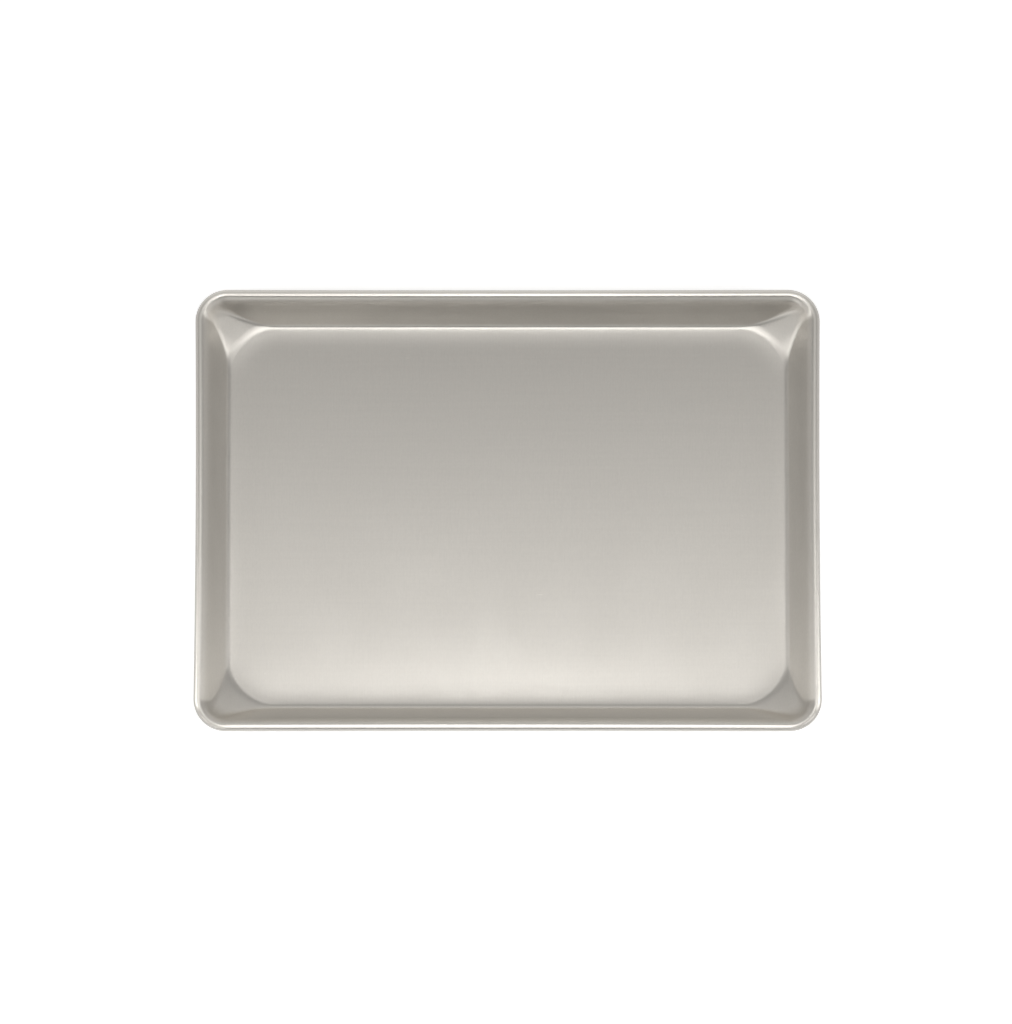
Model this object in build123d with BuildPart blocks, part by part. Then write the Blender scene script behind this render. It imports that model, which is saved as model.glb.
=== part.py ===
from build123d import *
import os
from itertools import pairwise
from math import acos, cos, degrees, hypot, radians, sin, tan

# A jelly roll pan: one drawn aluminium sheet whose edge is curled round a steel wire.
# The origin is under the middle of the floor, +X runs along the pan and +Z is up.

# Overall sizes, outside the curled rim
pan_length = 400.0
pan_width = 288.0
pan_height = 25.4

# Sheet
sheet_thickness = 1.0
wall_angle = 31.5  # degrees from upright
bend_radius = 5.0  # inside, where the floor turns up into the walls
floor_corner_radius = 27.0
rim_corner_radius = 21.0  # outside of the curled rim

# Rim wire and the curl round it
wire_diameter = 4.0
wire_clearance = 0.05
wire_end_gap = 1.0  # between the butted ends
wire_end_chamfer = 0.3
curl_edge_gap = 0.3  # from the raw edge to the wall
collar_height = 3.0  # even strip of wall below the curl, all round

# Levels that the sheet is drawn through, and how its corners fall on them
bend_shares = (0.0, 0.25, 0.5, 0.75, 1.0)  # of the bend's turn
wall_shares = (0.35, 0.7, 1.0)  # of the wall above the bend
shoulder_shares = (0.5, 0.65, 1.0)  # of the plain arc's radius, at each level of the wall
floor_fall_share = 0.03  # of the corner's fall, already there on the floor

# Section across the rim, with its middle on the wire
wire_radius = wire_diameter / 2
curl_inside = wire_radius + wire_clearance
curl_outside = curl_inside + sheet_thickness
wall_slope = tan(radians(wall_angle))
wall_level_thickness = sheet_thickness / cos(radians(wall_angle))
curl_start = 180 - wall_angle
curl_turn = 360 - degrees(acos((curl_inside - curl_edge_gap) / curl_outside))
collar_inset = curl_outside * cos(radians(wall_angle)) + collar_height * wall_slope
collar_drop = collar_height - curl_outside * sin(radians(wall_angle))

# Line of the wire, and the height of the collar's foot above the floor
wire_x = pan_length / 2 - curl_outside
wire_y = pan_width / 2 - curl_outside
wire_height = pan_height - curl_outside
wire_corner_radius = rim_corner_radius - curl_outside
drawn_height = wire_height - collar_drop - sheet_thickness

# Bend: a quarter turn less the wall's own angle
bend_turn = 90 - wall_angle
bend_run = bend_radius * sin(radians(bend_turn))
bend_rise = bend_radius * (1 - cos(radians(bend_turn)))

# Drawn corner: a shallow cone about the centre of the floor's corner, let into two flat walls
wall_reach = floor_corner_radius + bend_run + wall_slope * (drawn_height - bend_rise)
corner_x = wire_x - collar_inset - wall_reach
corner_y = wire_y - collar_inset - wall_reach
diagonal_share = hypot(1, 1) - 1
corner_fall = (wall_reach - wire_corner_radius + collar_inset) * diagonal_share


def inside_levels():
    """Height above the floor, reach, shoulder share and the sheet's way outward, at each level inside."""
    levels = []
    for share in bend_shares:
        turn = radians(bend_turn * share)
        height, reach = bend_radius * (1 - cos(turn)), floor_corner_radius + bend_radius * sin(turn)
        levels.append((height, reach, 1, (sheet_thickness * sin(turn), -sheet_thickness * cos(turn))))
    for share, shoulder_share in zip(wall_shares, shoulder_shares):
        height = bend_rise + (drawn_height - bend_rise) * share
        reach = floor_corner_radius + bend_run + wall_slope * (height - bend_rise)
        levels.append((height, reach, shoulder_share, (wall_level_thickness, 0)))
    return levels


def corner_arcs(height, reach, shoulder_share):
    """Radii and turns of the arcs round a corner: a plain one, or a shoulder, the middle and a shoulder."""
    rise_share = sin(radians(90 * height / drawn_height))
    fall = corner_fall * (floor_fall_share + (1 - floor_fall_share) * rise_share)
    plain = reach - fall / diagonal_share
    if shoulder_share == 1:
        return (plain,), (90,)
    shoulder, middle = plain * shoulder_share, reach + fall
    turn = degrees(acos((reach - shoulder) / (middle - shoulder)))
    return (shoulder, middle, shoulder), (turn, 90 - 2 * turn, turn)


def rounded_line(right, back, radii, turns, line_height=0):
    """A closed line round the pan, with the same arcs at each corner."""
    leg, turned = 0, 0
    for radius, turn in zip(radii, turns):
        leg += radius * (sin(radians(turned + turn)) - sin(radians(turned)))
        turned += turn
    starts = ((leg - right, back), (-right, leg - back), (right - leg, -back), (right, back - leg))
    with BuildLine(Plane.XY.offset(line_height)) as line:
        here, heading = (right - leg, back), (-1, 0)
        for start in starts:
            side = Line(here, start)
            here, heading = side @ 1, side % 1
            for radius, turn in zip(radii, turns):
                arc = JernArc(here, heading, radius, turn)
                here, heading = arc @ 1, arc % 1
    return line.line


def level_faces(side):
    """The level faces that the tray is lofted through, on its inside (0) or its outside (1)."""
    faces = []
    for height, reach, shoulder_share, through in inside_levels():
        radii, turns = corner_arcs(height, reach, shoulder_share)
        outward = through[0] * side
        radii = [radius + outward for radius in radii]
        with BuildSketch(Plane.XY.offset(sheet_thickness + height + through[1] * side)) as face:
            with BuildLine():
                add(rounded_line(corner_x + reach + outward, corner_y + reach + outward, radii, turns))
            make_face()
        faces.append(face.sketch)
    return faces


rim_path = rounded_line(wire_x, wire_y, (wire_corner_radius,), (90,), wire_height)

# Pan body: the drawn tray, with a smooth bend and then straight walls, and the curl round its rim
with BuildPart() as pan_body:
    for side, mode in ((1, Mode.ADD), (0, Mode.SUBTRACT)):
        faces = level_faces(side)
        loft(faces[:len(bend_shares)], mode=mode)
        for strip in pairwise(faces[len(bend_shares) - 1:]):
            loft(strip, mode=mode)

    across_rim = Plane(origin=rim_path @ 0, x_dir=(0, 1, 0), z_dir=(1, 0, 0))
    with BuildSketch(across_rim):
        with BuildLine():
            foot = (-collar_inset, -collar_drop)
            outer = CenterArc((0, 0), curl_outside, curl_start, -curl_turn)
            inner = CenterArc((0, 0), curl_inside, curl_start, -curl_turn)
            Line(foot, outer @ 0)
            Line(outer @ 1, inner @ 1)
            outer_foot = (wall_level_thickness - collar_inset, -collar_drop)
            Line(inner @ 0, outer_foot)
            Line(outer_foot, foot)
        make_face()
    sweep(path=rim_path)
pan_body.part.label = "pan_body"

# Rim wire: one round wire bent to the rim's line, with butted ends at the middle of the back
with BuildPart() as rim_wire:
    with BuildSketch(Plane(origin=rim_path @ 0, z_dir=rim_path % 0)):
        Circle(wire_radius)
    sweep(path=rim_path)
    with Locations((0, wire_y, wire_height)):
        Box(wire_end_gap, 2 * wire_diameter, 2 * wire_diameter, mode=Mode.SUBTRACT)
    chamfer(rim_wire.faces().filter_by(Axis.X).edges(), wire_end_chamfer)
rim_wire.part.label = "rim_wire"

os.makedirs("parts", exist_ok=True)
for piece in (pan_body, rim_wire):
    export_step(piece.part, f"parts/{piece.part.label}.step")
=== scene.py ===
from math import acos, cos, hypot, pi, radians, sin, tan

import bpy
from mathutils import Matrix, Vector


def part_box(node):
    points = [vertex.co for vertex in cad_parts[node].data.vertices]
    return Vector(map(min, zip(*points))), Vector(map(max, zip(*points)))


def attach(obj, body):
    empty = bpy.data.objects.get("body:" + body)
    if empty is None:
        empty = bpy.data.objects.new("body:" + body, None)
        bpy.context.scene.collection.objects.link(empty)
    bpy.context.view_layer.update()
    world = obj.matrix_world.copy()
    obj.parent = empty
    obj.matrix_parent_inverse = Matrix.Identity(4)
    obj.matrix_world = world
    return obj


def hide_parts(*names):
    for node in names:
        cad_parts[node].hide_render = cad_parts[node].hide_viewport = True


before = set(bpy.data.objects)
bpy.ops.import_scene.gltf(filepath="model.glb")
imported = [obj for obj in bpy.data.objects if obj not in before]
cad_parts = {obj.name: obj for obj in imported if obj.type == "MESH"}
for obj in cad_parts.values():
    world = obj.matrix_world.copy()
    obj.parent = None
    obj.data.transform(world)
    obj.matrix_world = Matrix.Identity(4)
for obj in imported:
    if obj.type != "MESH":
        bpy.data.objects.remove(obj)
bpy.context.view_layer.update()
print("frame loaded")

mm = 0.001
quarterTurn = pi / 2
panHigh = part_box("pan_body")[1]


# small helpers for node trees

def addNode(tree, kind, **settings):
    node = tree.nodes.new(kind)
    for name, value in settings.items():
        setattr(node, name, value)
    return node


def plug(tree, socket, value):
    if isinstance(value, bpy.types.NodeSocket):
        tree.links.new(value, socket)
    else:
        socket.default_value = value


def calc(tree, operation, *values, clamp=False):
    node = addNode(tree, "ShaderNodeMath", operation=operation, use_clamp=clamp)
    for socket, value in zip(node.inputs, values):
        plug(tree, socket, value)
    return node.outputs[0]


def vectorCalc(tree, operation, a, b=None, scale=None):
    node = addNode(tree, "ShaderNodeVectorMath", operation=operation)
    plug(tree, node.inputs[0], a)
    if b is not None:
        plug(tree, node.inputs[1], b)
    if scale is not None:
        plug(tree, node.inputs["Scale"], scale)
    return node.outputs[0]


def joinXyz(tree, x, y, z):
    node = addNode(tree, "ShaderNodeCombineXYZ")
    for socket, value in zip(node.inputs, (x, y, z)):
        plug(tree, socket, value)
    return node.outputs[0]


def splitXyz(tree, vector):
    node = addNode(tree, "ShaderNodeSeparateXYZ")
    plug(tree, node.inputs[0], vector)
    return node.outputs


def headingVector(tree, angle):
    return joinXyz(tree, calc(tree, "COSINE", angle), calc(tree, "SINE", angle), 0.0)


# sheet and rim sizes: the solids' own, but for the floor's corners, the lead-in and the flare

sheet = {
    "halfLength": panHigh.x,
    "halfWidth": panHigh.y,
    "height": panHigh.z,
    "thickness": 1.0 * mm,
    "wallAngle": radians(31.5),  # from upright
    "bendRadius": 5.0 * mm,
    "floorCornerRadius": 31.0 * mm,
    "rimCornerRadius": 21.0 * mm,
    "wireRadius": 2.0 * mm,
    "wireClearance": 0.05 * mm,
    "wireEndGap": 1.0 * mm,
    "wireEndRounding": 0.3 * mm,
    "curlEdgeGap": 0.3 * mm,
    "collarHeight": 3.0 * mm,
    "edgeRounding": 0.15 * mm,  # of the raw edge
    "leadIn": 15.0 * mm,  # where the floor starts to rise, ahead of the bend
    "leadTurn": radians(6.0),
    "flareTurn": radians(20.0),  # how far the wall leans out more, just below the curl
    "flareSharpness": 4,
}

curlInside = sheet["wireRadius"] + sheet["wireClearance"]
curlOutside = curlInside + sheet["thickness"]
wallSlope = tan(sheet["wallAngle"])
wallOutward = sheet["thickness"] / cos(sheet["wallAngle"])
curlStart = pi - sheet["wallAngle"]
curlTurn = 2 * pi - acos((curlInside - sheet["curlEdgeGap"]) / curlOutside)
collarInset = curlOutside * cos(sheet["wallAngle"]) + sheet["collarHeight"] * wallSlope
collarDrop = sheet["collarHeight"] - curlOutside * sin(sheet["wallAngle"])
wireHeight = sheet["height"] - curlOutside
drawnHeight = wireHeight - collarDrop - sheet["thickness"]
bendTurn = quarterTurn - sheet["wallAngle"]
bendRun = sheet["bendRadius"] * sin(bendTurn)
bendRise = sheet["bendRadius"] * (1 - cos(bendTurn))
wallReach = sheet["floorCornerRadius"] + bendRun + wallSlope * (drawnHeight - bendRise)
hubX = sheet["halfLength"] - curlOutside - collarInset - wallReach  # centre of the floor's corner
hubY = sheet["halfWidth"] - curlOutside - collarInset - wallReach
diagonalShare = hypot(1, 1) - 1
cornerFall = (wallReach - sheet["rimCornerRadius"] + curlOutside + collarInset) * diagonalShare


# section through the sheet, from the middle of the floor out round the curl and back underneath

rowCounts = {"rings": 20, "lead": 9, "bend": 10, "wall": 20, "curl": 46, "curlInside": 28, "edge": 4}

finish = {  # burnished share and dull-and-shade share of each stretch of the section; the second adds roughness and painted shade
    "floor": (0.0, 0.0),
    "leadEnd": (0.2, 0.0),
    "wall": (0.5, 0.2),
    "crest": (1.0, 0.0),
    "curlSide": (0.7, 1.0),
    "rawEdge": (0.3, 0.6),
    "outside": (0.3, 0.3),
    "underside": (0.1, 0.3),
}


rimSide = {"start": radians(60), "end": radians(38)}  # where the crest's finish, with its painted highlight, turns into the outer side's, with its painted shade


def evenSteps(count, first=0):
    return [i / count for i in range(first, count + 1)]


def mixed(a, b, share):
    share = min(max(share, 0), 1)
    return tuple(first + (second - first) * share for first, second in zip(finish[a], finish[b]))


def sectionRows():
    rows = []  # spread, level above the floor, reach, way outward from the level's own, height, finish
    thickness, bendRadius = sheet["thickness"], sheet["bendRadius"]
    leadRise = sheet["leadIn"] * tan(sheet["leadTurn"]) / 3
    lift = leadRise - bendRadius * (1 - cos(sheet["leadTurn"]))
    bendFoot = sheet["floorCornerRadius"] + wallSlope * lift
    leadStart = bendFoot + bendRadius * sin(sheet["leadTurn"]) - sheet["leadIn"]
    curlFirst = curlStart - sheet["flareTurn"]
    wireReach = wallReach + collarInset
    footReach, footHeight = bendFoot + bendRun, thickness + lift + bendRise
    topReach, topHeight = wireReach + curlOutside * cos(curlFirst), wireHeight + curlOutside * sin(curlFirst)
    wallRise = topHeight - footHeight
    flare = wallRise * tan(sheet["wallAngle"] + sheet["flareTurn"]) - (topReach - footReach)

    def levelReach(level):
        if level < bendRise:
            return sheet["floorCornerRadius"] + bendRadius * sin(acos(1 - level / bendRadius))
        return sheet["floorCornerRadius"] + bendRun + wallSlope * (level - bendRise)

    def addRow(reach, height, level, shares, spread=1):
        level = min(max(level, 0), drawnHeight)
        rows.append((spread, level, reach, reach - levelReach(level), height) + shares)

    def addFloor(spreads, leads, height, first, second):
        for spread in spreads:
            addRow(leadStart, height, 0, finish[first], spread)
        for share in leads:
            rise = leadRise * share ** 3
            addRow(leadStart + sheet["leadIn"] * share, height + rise, 0, mixed(first, second, share))

    def addBend(turns, radius, first, second):
        for turn in turns:
            level = lift + bendRadius * (1 - cos(turn))
            addRow(bendFoot + radius * sin(turn), thickness + lift + bendRadius - radius * cos(turn), level,
                   mixed(first, second, turn / bendTurn))

    def addWall(shares, outward, name):
        for share in shares:
            reach = footReach + (topReach - footReach) * share
            reach -= flare * share ** sheet["flareSharpness"] * (1 - share)
            height = footHeight + wallRise * share
            addRow(reach + outward, height, height - thickness, finish[name])

    def addAroundWire(x, z, shares):
        addRow(wireReach + x, wireHeight + z, drawnHeight, shares)

    rings = [sin(quarterTurn * share) for share in evenSteps(rowCounts["rings"])]
    leads = evenSteps(rowCounts["lead"], 1)
    bendLeft = bendTurn - sheet["leadTurn"]
    bends = [sheet["leadTurn"] + bendLeft * share for share in evenSteps(rowCounts["bend"], 1)]
    walls = [sin(quarterTurn * share) for share in evenSteps(rowCounts["wall"], 1)][:-1]  # closer at the top
    addFloor(rings, leads, thickness, "floor", "leadEnd")
    addBend(bends, bendRadius, "leadEnd", "wall")
    addWall(walls, 0, "wall")

    rounding = sheet["edgeRounding"]
    edgeAngle = curlStart - curlTurn
    curlLast = edgeAngle + rounding / curlOutside
    crest, sideSpan = quarterTurn, rimSide["start"] - rimSide["end"]
    for share in evenSteps(rowCounts["curl"]):
        angle = curlFirst + (curlLast - curlFirst) * share
        if angle > crest:
            shares = mixed("wall", "crest", (curlFirst - angle) / (curlFirst - crest))
        else:
            shares = mixed("crest", "curlSide", (rimSide["start"] - angle) / sideSpan)
        addAroundWire(curlOutside * cos(angle), curlOutside * sin(angle), shares)
    for radius, firstTurn in ((curlOutside - rounding, 0), (curlInside + rounding, quarterTurn)):
        for share in evenSteps(rowCounts["edge"], 1 if firstTurn == 0 else 0):
            turn = firstTurn + quarterTurn * share
            out, along = radius + rounding * cos(turn), rounding * (1 - sin(turn))
            addAroundWire(out * cos(edgeAngle) - along * sin(edgeAngle),
                          out * sin(edgeAngle) + along * cos(edgeAngle), finish["rawEdge"])
    innerLast = edgeAngle + rounding / curlInside
    for share in reversed(evenSteps(rowCounts["curlInside"])[:-1]):
        angle = curlFirst + (innerLast - curlFirst) * share
        addAroundWire(curlInside * cos(angle), curlInside * sin(angle), finish["rawEdge"])

    innerTop = wireHeight + curlInside * sin(curlFirst)
    outerWalls = [share for share in walls if footHeight + wallRise * share < innerTop - thickness / 2]
    addWall(reversed(outerWalls), wallOutward, "outside")
    addBend(reversed(bends), bendRadius + thickness, "underside", "outside")
    underside = len(rows)
    addFloor(rings, leads, 0, "underside", "underside")
    rows[underside:] = reversed(rows[underside:])
    return rows


def lineMesh(name, points, attributes):
    mesh = bpy.data.meshes.new(name)
    mesh.from_pydata(points, [(i, i + 1) for i in range(len(points) - 1)], [])
    for label, values in attributes.items():
        mesh.attributes.new(label, "FLOAT", "POINT").data.foreach_set("value", values)
    return mesh


def sectionMesh():
    rows = sectionRows()
    spreads, levels, reaches, outwards, heights, burnishes, dullAndShades = zip(*rows)
    points = [(reach, 0, height) for reach, height in zip(reaches, heights)]
    return lineMesh("panSection", points, {"spread": spreads, "level": levels, "outward": outwards,
                                           "burnish": burnishes, "dullAndShade": dullAndShades})


# route round the pan: where the hub of the turn stands and which way the sheet faces

columnCounts = {"longSide": 44, "shortSide": 30, "corner": 26, "wireRound": 20}
weldDistance = 0.002 * mm
alongNudge = 0.001  # so that a way straight along y counts as positive


def routeColumns(halfX, halfY):
    columns = []  # hub, facing, slide along a side, turn round a corner, whether it's a corner
    for quarter in range(4):
        facing = quarterTurn * (quarter + 1)
        onLong = quarter % 2 == 0
        for share in evenSteps(columnCounts["longSide" if onLong else "shortSide"], 1)[:-1]:
            slide = 2 * share - 1
            x = halfX * (-slide * sin(facing) if onLong else cos(facing))
            y = halfY * (sin(facing) if onLong else slide * cos(facing))
            columns.append(((x, y, 0), facing, slide, 0, 0))
        cornerX = halfX * (-1 if quarter in (0, 1) else 1)
        cornerY = halfY * (1 if quarter in (0, 3) else -1)
        for share in evenSteps(columnCounts["corner"]):
            columns.append(((cornerX, cornerY, 0), facing, 0, quarterTurn * share, 1))
    return columns


def routeMesh():
    columns = routeColumns(hubX, hubY)
    hubs, facings, slides, turns, cornered = zip(*(columns + columns[:1]))
    return lineMesh("panRoute", hubs,
                    {"facing": facings, "slide": slides, "turn": turns, "cornered": cornered})


# geometry nodes: the section carried round the route by the corner rule

panForm = {
    "Corner Fall": cornerFall,
    "Floor Fall Share": 0.0,
    "Drawn Height": drawnHeight,
    "Shoulder Base": 0.18,
    "Shoulder Rise": 0.82,
    "Shoulder Foot": 0.9,
    "Shoulder Fade": 2.0 * mm,
    "Half Length": sheet["halfLength"],
    "Half Width": sheet["halfWidth"],
    "Side Bow Long": 1.0 * mm,
    "Side Bow Wide": 0.3 * mm,
    "End Foot Inset": 2.0 * mm,  # how much further in the short walls meet the floor
    "Floor Crown": 1.5 * mm,
    "Crown Front Share": 0.10,  # how soon it falls at the front
    "Wave Height": 0.10 * mm,
    "Wave Scale": 14.0,
    "Wave Seed": 3.0,
}


def newGeometryTree(name, sizes):
    tree = bpy.data.node_groups.new(name, "GeometryNodeTree")
    tree.interface.new_socket("Geometry", in_out="OUTPUT", socket_type="NodeSocketGeometry")
    tree.interface.new_socket("Geometry", in_out="INPUT", socket_type="NodeSocketGeometry")
    for label, value in sizes.items():
        socket = tree.interface.new_socket(label, in_out="INPUT", socket_type="NodeSocketFloat")
        socket.default_value = value
    tree.interface.new_socket("Route", in_out="INPUT", socket_type="NodeSocketObject")
    tree.interface.new_socket("Material", in_out="INPUT", socket_type="NodeSocketMaterial")
    return tree


def namedField(tree, label):
    node = addNode(tree, "GeometryNodeInputNamedAttribute", data_type="FLOAT")
    node.inputs["Name"].default_value = label
    return node.outputs["Attribute"]


def storeField(tree, geometry, label, value, domain="POINT"):
    node = addNode(tree, "GeometryNodeStoreNamedAttribute", data_type="FLOAT", domain=domain)
    tree.links.new(geometry, node.inputs["Geometry"])
    node.inputs["Name"].default_value = label
    plug(tree, node.inputs["Value"], value)
    return node.outputs["Geometry"]


def sampleAt(tree, geometry, value, index, kind="FLOAT"):
    node = addNode(tree, "GeometryNodeSampleIndex", data_type=kind, domain="POINT")
    tree.links.new(geometry, node.inputs["Geometry"])
    tree.links.new(value, node.inputs["Value"])
    tree.links.new(index, node.inputs["Index"])
    return node.outputs["Value"]


def pointCount(tree, geometry):
    node = addNode(tree, "GeometryNodeAttributeDomainSize", component="MESH")
    tree.links.new(geometry, node.inputs["Geometry"])
    return node.outputs["Point Count"]


def wholeCalc(tree, operation, a, b):
    node = addNode(tree, "FunctionNodeIntegerMath", operation=operation)
    plug(tree, node.inputs[0], a)
    plug(tree, node.inputs[1], b)
    return node.outputs[0]


def bowedPlace(tree, given, place):
    x, y, z = splitXyz(tree, place)
    rise = calc(tree, "DIVIDE", z, given["Drawn Height"], clamp=True)

    def bowed(near, far, nearHalf, farHalf, bow):
        along = calc(tree, "DIVIDE", far, farHalf)
        pull = calc(tree, "SUBTRACT", 1.0, calc(tree, "MULTIPLY", along, along), clamp=True)
        pull = calc(tree, "MULTIPLY", calc(tree, "MULTIPLY", pull, rise), calc(tree, "DIVIDE", bow, nearHalf))
        return calc(tree, "MULTIPLY", near, calc(tree, "SUBTRACT", 1.0, pull))

    foot = calc(tree, "DIVIDE", given["End Foot Inset"], given["Half Length"])
    foot = calc(tree, "MULTIPLY", calc(tree, "SUBTRACT", 1.0, rise), foot)
    x = calc(tree, "MULTIPLY", x, calc(tree, "SUBTRACT", 1.0, foot))
    newX = bowed(x, y, given["Half Length"], given["Half Width"], given["Side Bow Long"])
    newY = bowed(y, x, given["Half Width"], given["Half Length"], given["Side Bow Wide"])
    return newX, newY, z


def buildPanTree():
    tree = newGeometryTree("carrySection", panForm)
    given = addNode(tree, "NodeGroupInput").outputs
    section = given["Geometry"]

    # the corner rule, worked out once for each row of the section
    level, outward = namedField(tree, "level"), namedField(tree, "outward")
    position = addNode(tree, "GeometryNodeInputPosition").outputs[0]
    reach = calc(tree, "SUBTRACT", splitXyz(tree, position)[0], outward)
    rise = calc(tree, "DIVIDE", level, given["Drawn Height"])
    bulge = calc(tree, "SINE", calc(tree, "MULTIPLY", rise, quarterTurn))
    fromFloor = calc(tree, "SUBTRACT", 1.0, given["Floor Fall Share"])
    fall = calc(tree, "MULTIPLY_ADD", bulge, fromFloor, given["Floor Fall Share"])
    fall = calc(tree, "MULTIPLY", fall, given["Corner Fall"])
    plain = calc(tree, "SUBTRACT", reach, calc(tree, "DIVIDE", fall, diagonalShare))
    fade = calc(tree, "DIVIDE", calc(tree, "MULTIPLY", level, -1.0), given["Shoulder Fade"])
    fade = calc(tree, "EXPONENT", fade)
    share = calc(tree, "MULTIPLY_ADD", rise, given["Shoulder Rise"], given["Shoulder Base"])
    fadeShare = calc(tree, "SUBTRACT", given["Shoulder Foot"], given["Shoulder Base"])
    share = calc(tree, "MULTIPLY_ADD", fade, fadeShare, share)
    shoulder = calc(tree, "MULTIPLY", plain, share)
    arm = calc(tree, "SUBTRACT", calc(tree, "ADD", reach, fall), shoulder)
    lean = calc(tree, "ARCCOSINE", calc(tree, "DIVIDE", calc(tree, "SUBTRACT", reach, shoulder), arm))
    section = storeField(tree, section, "arm", arm)
    section = storeField(tree, section, "lean", lean)
    section = storeField(tree, section, "shoulder", calc(tree, "ADD", shoulder, outward))

    # a grid with a row for each point of the section and a column for each point of the route
    routeInfo = addNode(tree, "GeometryNodeObjectInfo")
    tree.links.new(given["Route"], routeInfo.inputs["Object"])
    route = routeInfo.outputs["Geometry"]
    rowCount = pointCount(tree, section)
    grid = addNode(tree, "GeometryNodeMeshGrid")
    tree.links.new(pointCount(tree, route), grid.inputs["Vertices X"])
    tree.links.new(rowCount, grid.inputs["Vertices Y"])
    index = addNode(tree, "GeometryNodeInputIndex").outputs[0]
    row = wholeCalc(tree, "MODULO", index, rowCount)
    column = wholeCalc(tree, "DIVIDE_FLOOR", index, rowCount)

    def fromRow(label):
        return sampleAt(tree, section, namedField(tree, label), row)

    def fromColumn(label):
        return sampleAt(tree, route, namedField(tree, label), column)

    hub = sampleAt(tree, route, position, column, "FLOAT_VECTOR")
    height = splitXyz(tree, sampleAt(tree, section, position, row, "FLOAT_VECTOR"))[2]
    facing, lean = fromColumn("facing"), fromRow("lean")
    clamped = addNode(tree, "ShaderNodeClamp")
    tree.links.new(fromColumn("turn"), clamped.inputs["Value"])
    tree.links.new(lean, clamped.inputs["Min"])
    tree.links.new(calc(tree, "SUBTRACT", quarterTurn, lean), clamped.inputs["Max"])
    onCorner = headingVector(tree, calc(tree, "ADD", facing, clamped.outputs[0]))
    sideways = calc(tree, "MULTIPLY", calc(tree, "SINE", lean), fromColumn("slide"))
    along = headingVector(tree, calc(tree, "ADD", facing, quarterTurn))
    onSide = vectorCalc(tree, "SCALE", headingVector(tree, facing), scale=calc(tree, "COSINE", lean))
    onSide = vectorCalc(tree, "ADD", onSide, vectorCalc(tree, "SCALE", along, scale=sideways))
    leaning = addNode(tree, "ShaderNodeMix", data_type="VECTOR")
    plug(tree, leaning.inputs["Factor"], fromColumn("cornered"))
    plug(tree, leaning.inputs[4], onSide)
    plug(tree, leaning.inputs[5], onCorner)
    outwardWay = headingVector(tree, calc(tree, "ADD", facing, fromColumn("turn")))
    place = vectorCalc(tree, "ADD", hub, vectorCalc(tree, "SCALE", leaning.outputs[1], scale=fromRow("arm")))
    place = vectorCalc(tree, "ADD", place, vectorCalc(tree, "SCALE", outwardWay, scale=fromRow("shoulder")))
    place = vectorCalc(tree, "SCALE", place, scale=fromRow("spread"))
    flatX, flatY, _ = splitXyz(tree, place)
    x, y, z = bowedPlace(tree, given, joinXyz(tree, flatX, flatY, height))

    # the floor's slight crown and the sheet's own unevenness
    overX = calc(tree, "DIVIDE", flatX, hubX + sheet["floorCornerRadius"])
    overY = calc(tree, "DIVIDE", flatY, hubY + sheet["floorCornerRadius"])
    crownX = calc(tree, "SUBTRACT", 1.0, calc(tree, "MULTIPLY", overX, overX), clamp=True)
    backward = calc(tree, "MULTIPLY_ADD", overY, 0.5, 0.5, clamp=True)  # 0 at the front, 1 at the back
    steep = calc(tree, "DIVIDE", backward, given["Crown Front Share"])
    steep = calc(tree, "EXPONENT", calc(tree, "MULTIPLY", calc(tree, "MULTIPLY", steep, steep), -1.0))
    crownY = calc(tree, "MULTIPLY", calc(tree, "SUBTRACT", 1.0, steep), calc(tree, "SUBTRACT", 1.0, backward))
    crown = calc(tree, "MULTIPLY", calc(tree, "MULTIPLY", crownX, crownY), given["Floor Crown"])
    wave = addNode(tree, "ShaderNodeTexNoise", noise_dimensions="4D")
    wave.inputs["Detail"].default_value = 1.0
    tree.links.new(joinXyz(tree, flatX, flatY, 0.0), wave.inputs["Vector"])
    tree.links.new(given["Wave Scale"], wave.inputs["Scale"])
    tree.links.new(given["Wave Seed"], wave.inputs["W"])
    waving = calc(tree, "SUBTRACT", 1.0, calc(tree, "DIVIDE", height, drawnHeight), clamp=True)
    waved = calc(tree, "MULTIPLY", calc(tree, "MULTIPLY", wave.outputs[0], waving), given["Wave Height"])
    z = calc(tree, "ADD", z, calc(tree, "ADD", crown, waved))

    placed = addNode(tree, "GeometryNodeSetPosition")
    tree.links.new(grid.outputs["Mesh"], placed.inputs["Geometry"])
    tree.links.new(joinXyz(tree, x, y, z), placed.inputs["Position"])
    acrossX, acrossY, _ = splitXyz(tree, outwardWay)
    side = calc(tree, "SIGN", calc(tree, "ADD", acrossX, alongNudge))
    across = storeField(tree, placed.outputs["Geometry"], "acrossX", calc(tree, "MULTIPLY", acrossX, side))
    across = storeField(tree, across, "acrossY", calc(tree, "MULTIPLY", acrossY, side))
    burnished = storeField(tree, across, "burnish", fromRow("burnish"))
    merged = addNode(tree, "GeometryNodeMergeByDistance")
    merged.inputs["Distance"].default_value = weldDistance
    tree.links.new(storeField(tree, burnished, "dullAndShade", fromRow("dullAndShade")), merged.inputs["Geometry"])
    finishTree(tree, given, merged.outputs["Geometry"])
    return tree


def finishTree(tree, given, geometry):
    smooth = addNode(tree, "GeometryNodeSetShadeSmooth")
    realized = addNode(tree, "GeometryNodeRealizeInstances")
    painted = addNode(tree, "GeometryNodeSetMaterial")
    output = addNode(tree, "NodeGroupOutput")
    tree.links.new(geometry, smooth.inputs["Geometry"])
    tree.links.new(smooth.outputs["Geometry"], realized.inputs["Geometry"])
    tree.links.new(realized.outputs["Geometry"], painted.inputs["Geometry"])
    tree.links.new(given["Material"], painted.inputs["Material"])
    tree.links.new(painted.outputs["Geometry"], output.inputs["Geometry"])


def signedVolume(mesh):
    mesh.calc_loop_triangles()
    total = 0
    for triangle in mesh.loop_triangles:
        a, b, c = (mesh.vertices[i].co for i in triangle.vertices)
        total += a.dot(b.cross(c)) / 6
    return total


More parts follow.
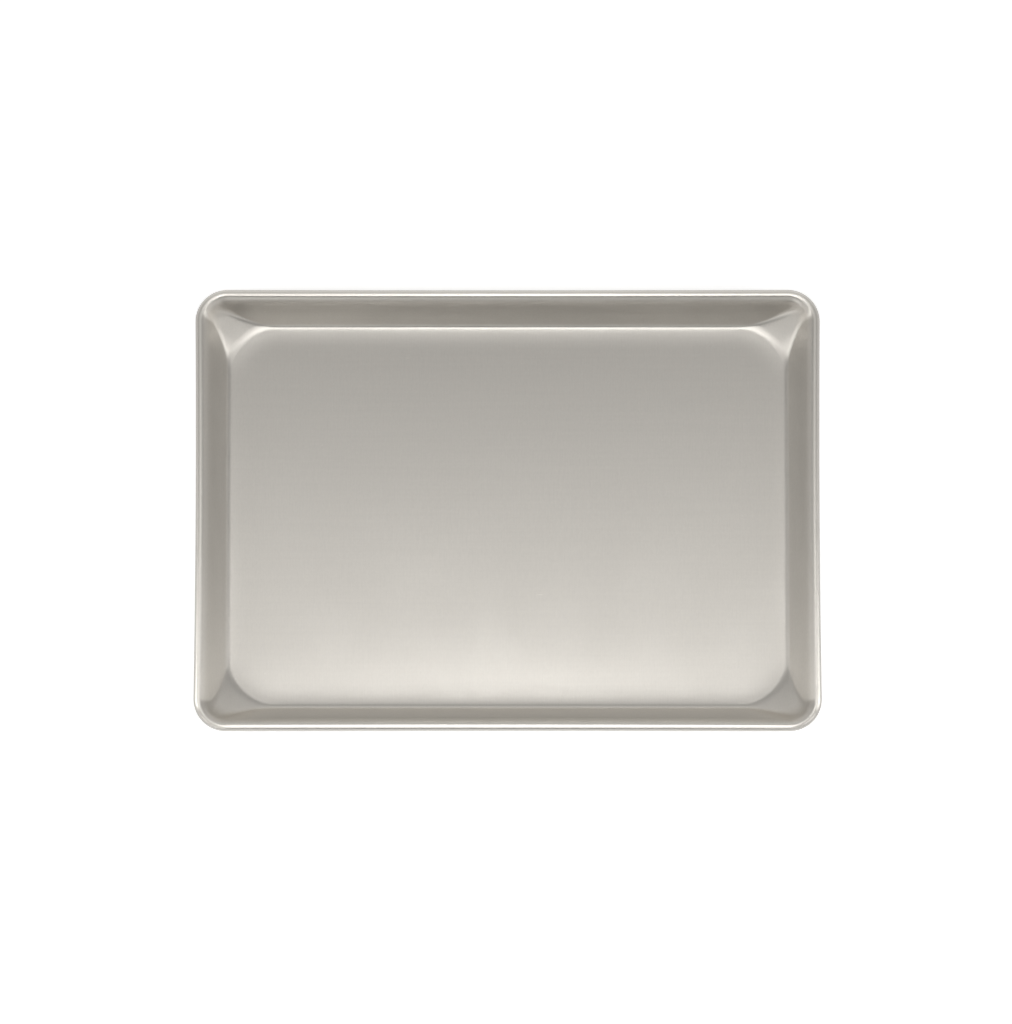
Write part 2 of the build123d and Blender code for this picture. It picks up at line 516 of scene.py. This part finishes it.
def madeByTree(name, startMesh, tree, settings):
    piece = bpy.data.objects.new(name, startMesh)
    bpy.context.scene.collection.objects.link(piece)
    modifier = piece.modifiers.new("form", "NODES")
    modifier.node_group = tree
    for item in tree.interface.items_tree:
        if item.in_out == "INPUT" and item.name in settings:
            modifier[item.identifier] = settings[item.name]
    bpy.context.view_layer.update()
    evaluated = piece.evaluated_get(bpy.context.evaluated_depsgraph_get())
    mesh = bpy.data.meshes.new_from_object(evaluated)
    piece.modifiers.remove(modifier)
    piece.data = mesh
    mesh.name = name
    if signedVolume(mesh) < 0:
        mesh.flip_normals()
    return piece


def helperObject(name, mesh):
    helper = bpy.data.objects.new(name, mesh)
    bpy.context.scene.collection.objects.link(helper)
    return helper


# rim wire: a round wire along the same rim, its ends butted at the middle of the back

wireForm = {
    "Wire Radius": sheet["wireRadius"],
    "Drawn Height": drawnHeight,
    "Half Length": sheet["halfLength"],
    "Half Width": sheet["halfWidth"],
    "Side Bow Long": panForm["Side Bow Long"],
    "Side Bow Wide": panForm["Side Bow Wide"],
    "End Foot Inset": panForm["End Foot Inset"],
}


def wireMesh():
    radius = sheet["rimCornerRadius"] - curlOutside
    halfX = sheet["halfLength"] - curlOutside - radius
    halfY = sheet["halfWidth"] - curlOutside - radius
    points = []
    for hub, facing, slide, turn, cornered in routeColumns(halfX, halfY):
        x, y = hub[0] + radius * cos(facing + turn), hub[1] + radius * sin(facing + turn)
        points.append((x, y, wireHeight))
    middle = columnCounts["longSide"] // 2
    halfGap, rounding = sheet["wireEndGap"] / 2, sheet["wireEndRounding"]
    ends = [(halfGap, halfY + radius, wireHeight), (halfGap + rounding, halfY + radius, wireHeight)]
    firstEnd = [(-x, y, z) for x, y, z in ends]
    points = firstEnd + points[middle:] + points[:middle - 1] + ends[::-1]
    thinEnd = 1 - rounding / sheet["wireRadius"]
    thinning = [thinEnd] + [1] * (len(points) - 2) + [thinEnd]
    return lineMesh("wireRoute", points, {"thinning": thinning})


def buildWireTree():
    tree = newGeometryTree("carryWire", wireForm)
    given = addNode(tree, "NodeGroupInput").outputs
    curve = addNode(tree, "GeometryNodeMeshToCurve")
    thinned = addNode(tree, "GeometryNodeSetCurveRadius")
    circle = addNode(tree, "GeometryNodeCurvePrimitiveCircle")
    circle.inputs["Resolution"].default_value = columnCounts["wireRound"]
    tube = addNode(tree, "GeometryNodeCurveToMesh")
    tube.inputs["Fill Caps"].default_value = True
    placed = addNode(tree, "GeometryNodeSetPosition")
    tree.links.new(given["Geometry"], curve.inputs["Mesh"])
    tree.links.new(curve.outputs["Curve"], thinned.inputs["Curve"])
    tree.links.new(namedField(tree, "thinning"), thinned.inputs["Radius"])
    tree.links.new(given["Wire Radius"], circle.inputs["Radius"])
    tree.links.new(thinned.outputs["Curve"], tube.inputs["Curve"])
    tree.links.new(circle.outputs["Curve"], tube.inputs["Profile Curve"])
    tree.links.new(tube.outputs["Mesh"], placed.inputs["Geometry"])
    position = addNode(tree, "GeometryNodeInputPosition").outputs[0]
    x, y, z = bowedPlace(tree, given, position)
    tree.links.new(joinXyz(tree, x, y, z), placed.inputs["Position"])
    finishTree(tree, given, placed.outputs["Geometry"])
    return tree


# materials

aluminium = {
    "colour": (0.795, 0.772, 0.735),
    "crestHighlight": 0.2,  # painted highlight: how much lighter the colour is made on the burnished crest of the rim
    "floorRoughness": 0.38,
    "rimRoughness": 0.34,
    "anisotropy": 0.75,
    "dullRoughness": 0.10,
    # painted shade: how much darker the colour is made where the dull-and-shade share is full
    "paintedShade": 0.36,
    "grainDepth": 0.014 * mm,
    "roughnessDepths": (0.05, 0.03),  # of the streaks and the clouds
    "toneDepths": (0.018, 0.014, 0.008, 0.012),  # of the streaks, mottle, cross lines and clouds
    "speckScale": 110,
    "speckChoice": 0.88,  # the share of cells that hold no speck
    "speckEdge": (0.03, 0.07),
    "speckLight": 0.07,
    "scratchPlace": (20.8 * mm, -51.2 * mm, 1.3 * mm),
    "scratchSize": (3.2 * mm, 0.35 * mm, 2 * mm),
    "scratchLight": 0.3,
}

grain = {  # scale along each axis, detail and roughness of each noise
    "streaks": ((1400, 90, 1400), 3.0, 0.6),
    "mottle": ((750, 450, 750), 2.0, 0.6),
    "crossLines": ((12, 520, 520), 2.0, 0.5),
    "clouds": ((22, 14, 22), 3.0, 0.55),
    "spangle": ((900, 900, 900), 2.0, 0.5),
}

wireSteel = {"colour": (0.56, 0.57, 0.58, 1), "roughness": 0.38, "roughnessDepth": 0.08}
noiseLow, noiseHigh = 0.3, 0.7  # most of a noise's values lie between these


def newMaterial(name):
    material = bpy.data.materials.new(name)
    material.use_nodes = True
    tree = material.node_tree
    tree.nodes.clear()
    output = addNode(tree, "ShaderNodeOutputMaterial")
    shader = addNode(tree, "ShaderNodeBsdfPrincipled")
    tree.links.new(shader.outputs[0], output.inputs["Surface"])
    return material, tree, shader


def grainPattern(tree, name):
    stretch, detail, roughness = grain[name]
    coords = addNode(tree, "ShaderNodeTexCoord")
    mapping = addNode(tree, "ShaderNodeMapping")
    mapping.inputs["Scale"].default_value = stretch
    noise = addNode(tree, "ShaderNodeTexNoise")
    noise.inputs["Scale"].default_value = 1.0
    noise.inputs["Detail"].default_value = detail
    noise.inputs["Roughness"].default_value = roughness
    tree.links.new(coords.outputs["Object"], mapping.inputs["Vector"])
    tree.links.new(mapping.outputs["Vector"], noise.inputs["Vector"])
    return noise.outputs[0]


def ranged(tree, value, low, high, toLow, toHigh):
    node = addNode(tree, "ShaderNodeMapRange")
    for socket, given in zip(node.inputs[:5], (value, low, high, toLow, toHigh)):
        plug(tree, socket, given)
    return node.outputs[0]


def noiseRange(tree, pattern, toLow, toHigh):
    return ranged(tree, pattern, noiseLow, noiseHigh, toLow, toHigh)


def surfaceField(tree, label):
    return addNode(tree, "ShaderNodeAttribute", attribute_name=label).outputs["Fac"]


def scratchMask(tree):
    coords = addNode(tree, "ShaderNodeTexCoord").outputs["Object"]
    offset = vectorCalc(tree, "SUBTRACT", coords, aluminium["scratchPlace"])
    offset = vectorCalc(tree, "DIVIDE", offset, aluminium["scratchSize"])
    length = addNode(tree, "ShaderNodeVectorMath", operation="LENGTH")
    tree.links.new(offset, length.inputs[0])
    return calc(tree, "SUBTRACT", 1.0, length.outputs["Value"], clamp=True)


def speckMask(tree):
    coords = addNode(tree, "ShaderNodeTexCoord").outputs["Object"]
    cells = addNode(tree, "ShaderNodeTexVoronoi")
    cells.inputs["Scale"].default_value = aluminium["speckScale"]
    tree.links.new(coords, cells.inputs["Vector"])
    chosen = calc(tree, "GREATER_THAN", splitXyz(tree, cells.outputs["Color"])[0], aluminium["speckChoice"])
    spot = ranged(tree, cells.outputs["Distance"], *aluminium["speckEdge"], 1.0, 0.0)
    return calc(tree, "MULTIPLY", spot, chosen)


def aluminiumMaterial():
    material, tree, shader = newMaterial("drawnAluminium")
    shader.inputs["Metallic"].default_value = 1
    shader.inputs["Anisotropic"].default_value = aluminium["anisotropy"]
    streaks, mottle = grainPattern(tree, "streaks"), grainPattern(tree, "mottle")
    crossLines, clouds = grainPattern(tree, "crossLines"), grainPattern(tree, "clouds")
    scratch, specks = scratchMask(tree), speckMask(tree)
    burnish, dullAndShade = surfaceField(tree, "burnish"), surfaceField(tree, "dullAndShade")
    plainShare = calc(tree, "SUBTRACT", 1.0, burnish, clamp=True)  # grain is drawn out of the walls and rim
    roughness = ranged(tree, burnish, 0.0, 1.0, aluminium["floorRoughness"], aluminium["rimRoughness"])
    for pattern, depth in zip((streaks, clouds), aluminium["roughnessDepths"]):
        change = calc(tree, "MULTIPLY", noiseRange(tree, pattern, -depth, depth), plainShare)
        roughness = calc(tree, "ADD", roughness, change)
    roughness = calc(tree, "MULTIPLY_ADD", dullAndShade, aluminium["dullRoughness"], roughness)
    tree.links.new(roughness, shader.inputs["Roughness"])
    # painted shade: the colour is made darker on the walls, the rim's outer side, the raw edge and the
    # outside, by the dull-and-shade share
    tone = calc(tree, "MULTIPLY_ADD", dullAndShade, -aluminium["paintedShade"], 1.0)
    for pattern, depth in zip((streaks, mottle, crossLines, clouds), aluminium["toneDepths"]):
        tone = calc(tree, "MULTIPLY", tone, noiseRange(tree, pattern, 1 - depth, 1 + depth))
    tone = calc(tree, "MULTIPLY_ADD", scratch, aluminium["scratchLight"], tone)
    tone = calc(tree, "MULTIPLY_ADD", specks, aluminium["speckLight"], tone)
    rimAndHighlightShare = calc(tree, "MULTIPLY_ADD", burnish, 2.0, -1.0, clamp=True)  # the rim, past half burnished; it turns the grain's way and sets where the painted highlight goes
    # painted highlight: the rim's crest made lighter in colour
    tone = calc(tree, "MULTIPLY_ADD", rimAndHighlightShare, aluminium["crestHighlight"], tone)
    colour = vectorCalc(tree, "SCALE", joinXyz(tree, *aluminium["colour"]), scale=tone)
    tree.links.new(colour, shader.inputs["Base Color"])
    bump = addNode(tree, "ShaderNodeBump")
    bump.inputs["Distance"].default_value = aluminium["grainDepth"]
    relief = calc(tree, "MULTIPLY", calc(tree, "ADD", streaks, mottle), plainShare)
    tree.links.new(relief, bump.inputs["Height"])
    tree.links.new(bump.outputs[0], shader.inputs["Normal"])
    across = joinXyz(tree, surfaceField(tree, "acrossX"), surfaceField(tree, "acrossY"), 0.0)
    across = vectorCalc(tree, "SCALE", across, scale=rimAndHighlightShare)
    lengthwise = joinXyz(tree, calc(tree, "SUBTRACT", 1.0, rimAndHighlightShare), 0.0, 0.0)
    tree.links.new(vectorCalc(tree, "ADD", lengthwise, across), shader.inputs["Tangent"])
    return material


def steelMaterial():
    material, tree, shader = newMaterial("wireSteel")
    shader.inputs["Metallic"].default_value = 1
    shader.inputs["Base Color"].default_value = wireSteel["colour"]
    low = wireSteel["roughness"] - wireSteel["roughnessDepth"]
    high = wireSteel["roughness"] + wireSteel["roughnessDepth"]
    tree.links.new(noiseRange(tree, grainPattern(tree, "spangle"), low, high), shader.inputs["Roughness"])
    return material


drawnAluminium = aluminiumMaterial()
steelFinish = steelMaterial()
print("materials made")

route = helperObject("panRoute", routeMesh())
panSettings = dict(panForm, Route=route, Material=drawnAluminium)
panSheet = madeByTree("panSheet", sectionMesh(), buildPanTree(), panSettings)
bpy.data.objects.remove(route)
print("pan sheet:", len(panSheet.data.vertices), "points")

rimWire = madeByTree("rimWire", wireMesh(), buildWireTree(), dict(wireForm, Material=steelFinish))
print("rim wire:", len(rimWire.data.vertices), "points")

for piece, node, slot in ((panSheet, "pan_body", "pan_sheet"), (rimWire, "rim_wire", "rim_wire")):
    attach(piece, "root")
    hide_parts(node)


# floor, light and camera

studio = {
    "floorColour": (0.905, 0.915, 0.93, 1),
    "floorHalf": 12.0,
    "floorDrop": 0.1 * mm,  # below the pan's underside
    "floorRoughness": 0.9,
    "floorSpecular": 0.1,
    "floorGlow": 0.55,  # as the camera and the metal see it, so the shadow stays
    "lightTint": (1.0, 0.985, 0.955),
}

softboxes = {  # middle, what it faces, length and width, power
    "frontBox": ((0.0, -0.40, 1.0), (0.0, -0.40, 0.0), (0.50, 0.70), 2.60),
    "overheadBox": ((0.0, 0.10, 1.0), (0.0, 0.10, 0.0), (0.90, 0.50), 0.42),
    "smallBox": ((0.02, 0.10, 1.0), (0.0, 0.0, 0.0), (0.10, 0.10), 0.17),
    "lowLeftBox": ((-0.50, -1.0, 0.35), (0.0, 0.0, 0.0), (0.50, 0.30), 0.93),
    "lowRightBox": ((0.50, -1.0, 0.35), (0.0, 0.0, 0.0), (0.50, 0.30), 0.53),
    "leftCornerBox": ((-0.63, -0.46, 0.43), (0.0, 0.0, 0.0), (0.30, 0.30), 0.30),
    "rightCornerBox": ((0.63, -0.46, 0.43), (0.0, 0.0, 0.0), (0.30, 0.30), 0.34),
    "leftBox": ((-0.80, -0.05, 0.50), (0.0, 0.0, 0.0), (0.25, 0.30), 0.80),
    "rightBox": ((0.80, -0.05, 0.50), (0.0, 0.0, 0.0), (0.25, 0.30), 0.80),
}

skyHeights = (0.0, 0.15, 0.3, 0.5, 0.7, 0.9)  # sine of the height above the horizon
sky = {
    "front": (0.28, 0.18, 0.03, 0.02, 0.18, 0.36),
    "back": (0.68, 0.65, 0.62, 0.60, 0.45, 0.36),
    "side": (0.80, 0.69, 0.41, 0.17, 0.20, 0.36),
}


def stageFloor():
    half = studio["floorHalf"]
    mesh = bpy.data.meshes.new("floor")
    corners = ((-half, -half), (half, -half), (half, half), (-half, half))
    mesh.from_pydata([(x, y, -studio["floorDrop"]) for x, y in corners], [], [(0, 1, 2, 3)])
    floor = helperObject("floor", mesh)
    material, tree, shader = newMaterial("paleFloor")
    shader.inputs["Base Color"].default_value = studio["floorColour"]
    shader.inputs["Roughness"].default_value = studio["floorRoughness"]
    shader.inputs["Specular IOR Level"].default_value = studio["floorSpecular"]
    shader.inputs["Emission Color"].default_value = (1, 1, 1, 1)
    rays = addNode(tree, "ShaderNodeLightPath").outputs
    seen = calc(tree, "MAXIMUM", rays["Is Camera Ray"], rays["Is Glossy Ray"])
    seen = calc(tree, "MAXIMUM", seen, rays["Is Transmission Ray"])
    tree.links.new(calc(tree, "MULTIPLY", seen, studio["floorGlow"]), shader.inputs["Emission Strength"])
    mesh.materials.append(material)


def softbox(name, middle, target, size, power):
    light = bpy.data.lights.new(name, "AREA")
    light.shape = "RECTANGLE"
    light.size, light.size_y = size
    light.energy = power
    light.color = studio["lightTint"]
    lamp = bpy.data.objects.new(name, light)
    bpy.context.scene.collection.objects.link(lamp)
    lamp.location = middle
    lamp.rotation_euler = (Vector(target) - Vector(middle)).to_track_quat("-Z", "Y").to_euler()
    lamp.visible_camera = False


def skyRamp(tree, height, levels):
    ramp = addNode(tree, "ShaderNodeValToRGB")
    stops = ramp.color_ramp.elements
    stops.remove(stops[1])
    for place in skyHeights[1:]:
        stops.new(place)
    for stop, place, level in zip(stops, skyHeights, levels):
        stop.position = place
        stop.color = [level * share for share in studio["lightTint"]] + [1]
    tree.links.new(height, ramp.inputs["Fac"])
    return ramp.outputs["Color"]


def studioWorld():
    world = bpy.data.worlds.new("studio")
    bpy.context.scene.world = world
    world.use_nodes = True
    tree = world.node_tree
    tree.nodes.clear()
    x, y, z = splitXyz(tree, addNode(tree, "ShaderNodeTexCoord").outputs["Generated"])
    sideways, endways = calc(tree, "MULTIPLY", x, x), calc(tree, "MULTIPLY", y, y)
    share = calc(tree, "DIVIDE", sideways, calc(tree, "ADD", sideways, endways))
    towardsBack = calc(tree, "GREATER_THAN", y, 0.0)
    light = None
    for name, factor in (("front", None), ("back", towardsBack), ("side", share)):
        levels = skyRamp(tree, z, sky[name])
        if light is None:
            light = levels
            continue
        mix = addNode(tree, "ShaderNodeMix", data_type="RGBA")
        tree.links.new(factor, mix.inputs["Factor"])
        tree.links.new(light, mix.inputs[6])
        tree.links.new(levels, mix.inputs[7])
        light = mix.outputs[2]
    background = addNode(tree, "ShaderNodeBackground")
    tree.links.new(light, background.inputs["Color"])
    output = addNode(tree, "ShaderNodeOutputWorld")
    tree.links.new(background.outputs[0], output.inputs["Surface"])


view = {
    "tilt": radians(12.1),  # from upright, towards the front
    "distance": 7.88,
    "aim": (-1.03 * mm, 3.28 * mm, 0),
    "pixelsPerMetre": 1563.5,
    "imageHeight": 1024,
    "sensor": 36.0,
    "farthest": 100,
}


def addCamera():
    camera = bpy.data.objects.new("camera", bpy.data.cameras.new("camera"))
    bpy.context.scene.collection.objects.link(camera)
    away = Vector((0, -sin(view["tilt"]), cos(view["tilt"])))
    camera.location = Vector(view["aim"]) + away * view["distance"]
    camera.rotation_euler = (-away).to_track_quat("-Z", "Y").to_euler()
    camera.data.sensor_width = view["sensor"]
    camera.data.lens = view["pixelsPerMetre"] * view["distance"] * view["sensor"] / view["imageHeight"]
    camera.data.clip_end = view["farthest"]
    bpy.context.scene.camera = camera


stageFloor()
for name, settings in softboxes.items():
    softbox(name, *settings)
studioWorld()
addCamera()
bpy.context.scene.view_settings.view_transform = "Standard"
print("stage, lights and camera set")
